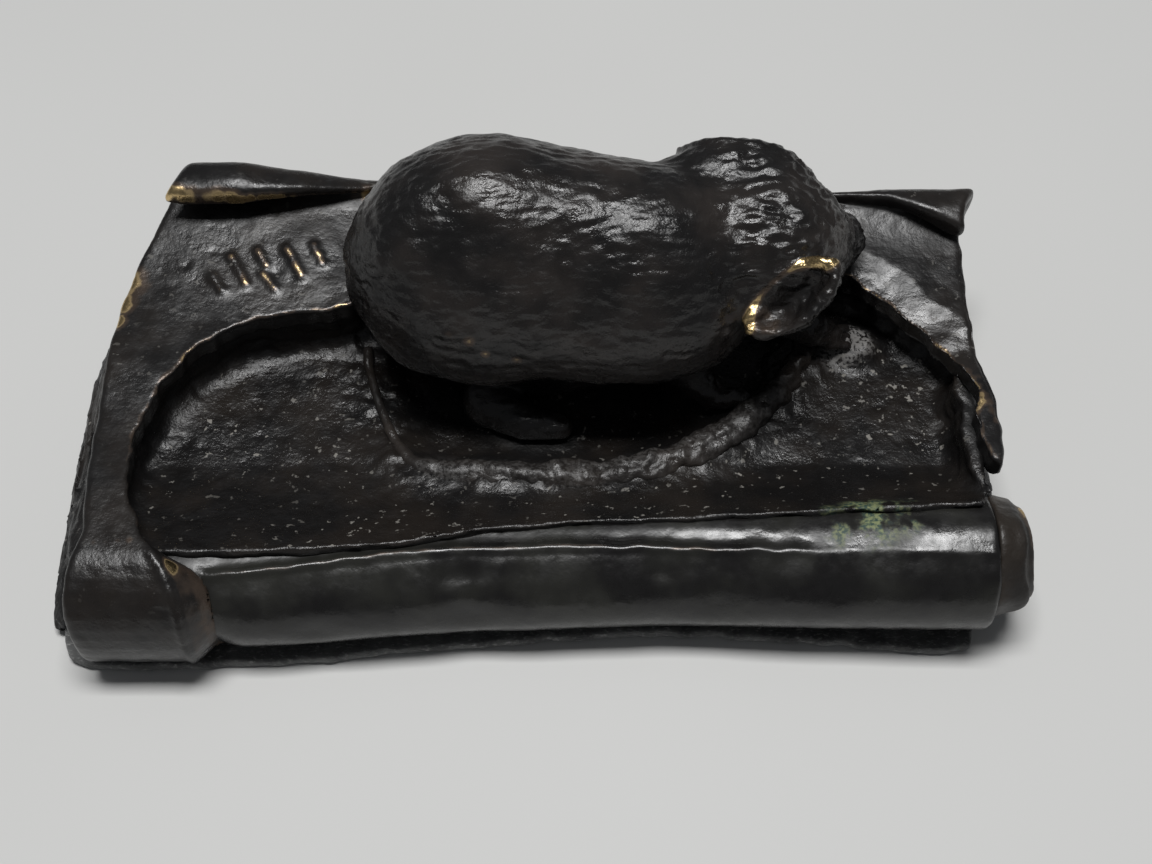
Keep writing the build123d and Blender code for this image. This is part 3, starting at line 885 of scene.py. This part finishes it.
def rub(tree, colour, medium):
    """Patina worn to brown and then to brass; also how far it is rubbed and how brassy it is."""
    uneven = times(tree, math_node(tree, "SUBTRACT", medium, 0.5), 0.55)
    broken = plus(tree, attribute(tree, "wear"), uneven)
    rubbed = ramp_node(tree, broken, 0.34, 0.62)
    brassy = ramp_node(tree, broken, 0.6, 0.82)
    colour = mix_node(tree, rubbed, colour, RUBBED_BROWN)
    return mix_node(tree, brassy, colour, BRASS), rubbed, brassy


def stain_green(tree, colour, medium, fine):
    """Verdigris in dark and pale grains; also its strength."""
    stain = times(tree, attribute(tree, "green"), ramp_node(tree, medium, 0.36, 0.6))
    greenish = mix_node(tree, ramp_node(tree, fine, 0.4, 0.6), VERDIGRIS_DARK, VERDIGRIS_PALE)
    return mix_node(tree, ramp_node(tree, stain, 0.15, 0.8, 0.0, 0.7), colour, greenish), stain


def add_painted_highlight(tree, colour, fine):
    """Painted highlight: pale grey grains where the tail's crest and the lump catch the light; also its
    strength.
    """
    highlight_strength = times(tree, attribute(tree, "painted_highlight"), ramp_node(tree, fine, 0.36, 0.56))
    return mix_node(tree, ramp_node(tree, highlight_strength, 0.15, 0.75, 0.0, 0.6), colour, PAINTED_HIGHLIGHT_GREY), highlight_strength


def dust_flecks(tree, coords, strength):
    """Strength of the dust that has gathered in flecks on level places."""
    facing = node(tree, "ShaderNodeSeparateXYZ")
    geometry = node(tree, "ShaderNodeNewGeometry")
    tree.links.new(geometry.outputs["Normal"], facing.inputs[0])
    level = ramp_node(tree, facing.outputs["Z"], 0.55, 0.85, 0.0, strength)
    flecks = ramp_node(tree, noise_node(tree, coords, 1150.0, 2.5, 0.6), 0.64, 0.69)
    gathered = ramp_node(tree, noise_node(tree, coords, 85.0, 2.0), 0.42, 0.6, 0.25, 1.0)
    return times(tree, times(tree, flecks, gathered), level)


def bronze(name, dark, brown, grain=1.0, dusty=0.0, polish=0.30):
    """Dark patinated bronze, rubbed to brass on its high edges, dirty in its crevices."""
    material, tree, shader = new_material(name)
    coords = object_coords(tree)
    broad = noise_node(tree, coords, 120.0, 3.0)
    medium = noise_node(tree, coords, 520.0, 5.0)
    fine = noise_node(tree, coords, 2300.0, 4.0, 0.6)
    crevice = attribute(tree, "crevice")

    colour = mix_node(tree, ramp_node(tree, broad, 0.38, 0.68), dark, brown)
    colour = mix_node(tree, ramp_node(tree, crevice, 0.35, 0.95, 0.0, 0.7), colour, DIRT)
    colour, rubbed, brassy = rub(tree, colour, medium)
    colour, stain = stain_green(tree, colour, medium, fine)
    # Painted highlight: pale grey grains on the lit tail crest and lump.
    colour, highlight_strength = add_painted_highlight(tree, colour, fine)

    rough = ramp_node(tree, medium, 0.3, 0.7, polish - 0.06, polish + 0.1)
    rough = math_node(tree, "SUBTRACT", rough, times(tree, rubbed, 0.06))
    rough = plus(tree, rough, times(tree, crevice, 0.22))
    rough = plus(tree, rough, times(tree, plus(tree, stain, highlight_strength), 0.4))
    metal = math_node(tree, "MAXIMUM", times(tree, rubbed, 0.45), brassy)

    if dusty > 0.0:
        dust = dust_flecks(tree, coords, dusty)
        colour = mix_node(tree, dust, colour, DUST)
        rough = plus(tree, rough, times(tree, dust, 0.4))

    add_bump(tree, shader, plus(tree, times(tree, medium, 0.7), times(tree, fine, 0.3)), 0.6, 0.00024 * grain)
    tree.links.new(colour, shader.inputs["Base Color"])
    tree.links.new(rough, shader.inputs["Roughness"])
    tree.links.new(metal, shader.inputs["Metallic"])
    shader.inputs["IOR"].default_value = 1.5
    return material


def felt():
    """Matted grey-black felt with lint."""
    material, tree, shader = new_material("felt")
    coords = object_coords(tree)
    stretched = node(tree, "ShaderNodeMapping", Scale=(1.0, 2.6, 1.0))
    tree.links.new(coords, stretched.inputs["Vector"])
    fibres = noise_node(tree, stretched.outputs["Vector"], 1500.0, 6.0, 0.7)
    patches = noise_node(tree, coords, 300.0, 3.0)
    lint = ramp_node(tree, fibres, 0.52, 0.72)
    colour = mix_node(tree, ramp_node(tree, patches, 0.35, 0.65), (0.045, 0.046, 0.046), (0.12, 0.122, 0.12))
    colour = mix_node(tree, lint, colour, (0.34, 0.34, 0.33))
    add_bump(tree, shader, fibres, 0.9, 0.0003)
    tree.links.new(colour, shader.inputs["Base Color"])
    shader.inputs["Roughness"].default_value = 0.95
    shader.inputs["Sheen Weight"].default_value = 0.3
    return material


def turned(name, colour, tint, grooves):
    """Machined metal with fine turning marks round the screw's axis, for the hidden fixings."""
    material, tree, shader = new_material(name)
    coords = object_coords(tree)
    moved = node(tree, "ShaderNodeMapping", Location=(-SCREW_X * MM, -SCREW_Y * MM, 0.0))
    rings = node(tree, "ShaderNodeTexWave", wave_type="RINGS", rings_direction="Z", Scale=grooves,
                 Distortion=1.5)
    tree.links.new(coords, moved.inputs["Vector"])
    tree.links.new(moved.outputs["Vector"], rings.inputs["Vector"])
    patches = noise_node(tree, coords, 700.0, 4.0)
    tree.links.new(mix_node(tree, patches, colour, tint), shader.inputs["Base Color"])
    tree.links.new(ramp_node(tree, patches, 0.3, 0.7, 0.25, 0.45), shader.inputs["Roughness"])
    add_bump(tree, shader, rings.outputs["Fac"], 0.2, 0.0001)
    shader.inputs["Metallic"].default_value = 1.0
    return material


# ---------------------------------------------------------------- camera, floor and light

def set_camera():
    """Looks down on the weight from the front, from about 13 cm above the desk."""
    camera = bpy.data.objects.new("camera", bpy.data.cameras.new("camera"))
    camera.data.lens = 46.9
    camera.data.sensor_width = 36.0
    camera.data.clip_start = 0.005
    camera.location = (0.004, -0.08754, 0.13187)
    camera.rotation_euler = (math.radians(35.0), 0.0, 0.0)
    bpy.context.scene.collection.objects.link(camera)
    bpy.context.scene.camera = camera


def make_floor():
    """Pale desk top."""
    mesh = bpy.data.meshes.new("floor")
    half = 1.5
    corners = [(-half, -half, 0), (half, -half, 0), (half, half, 0), (-half, half, 0)]
    mesh.from_pydata(corners, [], [(0, 1, 2, 3)])
    floor = bpy.data.objects.new("floor", mesh)
    bpy.context.scene.collection.objects.link(floor)
    material, tree, shader = new_material("floor")
    cloud = noise_node(tree, object_coords(tree), 9.0, 2.0)
    colour = mix_node(tree, cloud, (0.60, 0.60, 0.585), (0.66, 0.66, 0.65))
    tree.links.new(colour, shader.inputs["Base Color"])
    shader.inputs["Roughness"].default_value = 0.7
    floor.data.materials.append(material)


def set_light():
    """Ceiling light straight above, in a dim room."""
    bpy.context.scene.view_settings.view_transform = "Standard"
    world = bpy.data.worlds.new("room")
    world.use_nodes = True
    background = world.node_tree.nodes["Background"]
    background.inputs["Color"].default_value = (0.92, 0.95, 1.0, 1.0)
    background.inputs["Strength"].default_value = 0.1
    bpy.context.scene.world = world
    light = bpy.data.lights.new("ceiling", "AREA")
    light.shape = "RECTANGLE"
    light.size, light.size_y = 0.3, 0.13
    light.energy = 3.2
    lamp = bpy.data.objects.new("ceiling", light)
    lamp.location = (0.0, 0.0, 0.6)
    bpy.context.scene.collection.objects.link(lamp)


# ---------------------------------------------------------------- rubbed, stained and painted-highlight places (mm)

# Each single spot is (x, y, z, radius, strength).
LEAF_RUBBED = (
    spots_along([(-37.4, 19.4, 21.0), (-33.5, 18.8, 20.9), (-31.0, 18.9, 20.8)], 1.5, 1.0)
    + spots_along([(-31.0, 19.0, 20.6), (-26.0, 20.0, 19.8), (-18.0, 22.2, 18.2)], 0.9, 1.0)
    + [(-41.2, 12.6, 15.6, 2.3, 1.0), (-41.6, 10.2, 15.2, 1.8, 1.0), (-42.0, 7.8, 14.9, 1.3, 0.9)]
    + spots_along([(-39.8, -17.6, 14.5), (-36.6, -17.4, 14.5)], 0.6, 0.62)
    + spots_along([(-35.8, -15.4, 14.4), (-31.6, -19.0, 14.2)], 0.8, 0.55)
    + [(-32.6, -19.6, 14.0, 1.0, 0.95)]
    + spots_along([(40.0, 5.4, 14.4), (43.4, 1.2, 14.4), (44.2, -4.0, 14.4)], 0.8, 0.62)
    + [(42.8, 18.6, 18.6, 1.2, 0.8)]
)
MOUSE_RUBBED = [(21.6, 0.2, 24.6, 1.5, 0.6), (-7.6, -0.8, 24.0, 0.8, 0.75), (-5.8, -1.2, 23.4, 0.9, 0.8),
                (-4.4, -1.8, 22.2, 0.7, 0.8), (-1.4, -2.2, 21.4, 0.8, 0.75), (-8.8, 0.2, 25.4, 0.7, 0.7)]
CORE_RUBBED = spots_along([(46.0, -12.6, 11.0), (46.4, -15.4, 10.4), (46.0, -18.8, 6.4)], 2.2, 0.8)
ROLL_GREEN = [(28.6, -15.8, 12.9, 1.8, 0.7), (31.6, -15.0, 13.3, 2.4, 1.0), (34.8, -14.6, 13.7, 2.0, 0.7)]
BODY_GREEN = [(31.0, -13.2, 13.4, 2.4, 1.0), (27.6, -13.4, 12.8, 1.4, 0.5), (34.6, -13.2, 13.8, 2.0, 0.8)]
# Painted highlight along the tail's lit crest, and on the lit lump and beside it.
TAIL_PAINTED_HIGHLIGHT = spots_along([(-10.0, -6.6, 9.8), (4.0, -7.4, 10.0), (17.0, -3.6, 10.0), (24.0, 2.4, 10.0)],
                         2.6, 0.34)
LUMP_PAINTED_HIGHLIGHT = [(LUMP_X, LUMP_Y, 10.2, 2.4, 1.0), (31.2, 8.4, 9.6, 2.2, 1.0)]


# ---------------------------------------------------------------- build

set_camera()
make_floor()
set_light()

leaf = sculpt("torn_leaf_cast", "torn_leaf", leaf_shape,
              (-44.2, -25.6, 1.2), (46.4, 25.6, 22.8), leaf_relief, rubbed=LEAF_RUBBED)
roll = sculpt("front_roll_cast", "front_roll", roll_shape,
              (-45.4, -23.4, 1.0), (44.4, -8.2, 15.0), roll_relief, edge_wear=0.0, stained=ROLL_GREEN)
# The floor's crest and lump carry the painted highlight too.
body = sculpt("scroll_body_cast", "scroll_body", body_shape,
              (-48.4, -19.6, 0.7), (46.6, 25.4, 18.0), body_relief, edge_wear=0.1, stained=BODY_GREEN,
              painted_highlight_places=TAIL_PAINTED_HIGHLIGHT + LUMP_PAINTED_HIGHLIGHT, cell=1.15 * CELL)
mouse = sculpt("mouse_cast", "mouse", mouse_shape,
               (-19.6, -5.6, 7.6), (34.6, 23.0, 36.4), mouse_relief, rubbed=MOUSE_RUBBED, cell=0.93 * CELL)
# The tail carries the painted highlight along its lit crest.
tail = sculpt("mouse_tail_cast", "mouse_tail", tail_shape,
              (-20.4, -10.6, 7.8), (31.4, 12.6, 12.8), tail_relief, edge_wear=0.0,
              painted_highlight_places=TAIL_PAINTED_HIGHLIGHT, cell=0.8 * CELL)
core = sculpt("roll_core_cast", "roll_core", core_shape,
              (34.0, -21.8, 1.2), (48.4, -8.6, 14.6), core_relief, rubbed=CORE_RUBBED, cell=0.8 * CELL)
pad = sculpt("felt_pad_cut", "felt_pad", pad_shape,
             (-48.6, -25.6, -0.4), (46.6, 25.4, 2.2), pad_relief, edge_wear=0.0, cell=1.1 * CELL)

for piece, finish in (
    (leaf, bronze("leaf_bronze", PATINA_DARK, PATINA_BROWN, dusty=0.35)),
    (roll, bronze("roll_bronze", PATINA_DARK, (0.022, 0.022, 0.019), grain=0.5, polish=0.25)),
    (body, bronze("floor_bronze", PATINA_DARK, PATINA_BROWN, grain=2.0, dusty=1.0, polish=0.26)),
    (mouse, bronze("mouse_bronze", PATINA_DARK, (0.024, 0.02, 0.018), grain=1.8, polish=0.23)),
    (tail, bronze("tail_bronze", (0.02, 0.018, 0.017), (0.034, 0.028, 0.024), grain=2.2, polish=0.26)),
    (core, bronze("core_bronze", (0.022, 0.017, 0.013), (0.05, 0.034, 0.022), grain=1.2)),
    (pad, felt()),
):
    piece.data.materials.append(finish)

for node_name, finish in (
    ("fixing_screw", turned("screw_steel", (0.45, 0.45, 0.46), (0.36, 0.36, 0.37), 900.0)),
    ("fixing_washer", turned("washer_brass", (0.60, 0.46, 0.22), (0.48, 0.36, 0.17), 1200.0)),
):
    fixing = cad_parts[node_name]
    fixing.data.materials.clear()
    fixing.data.materials.append(finish)
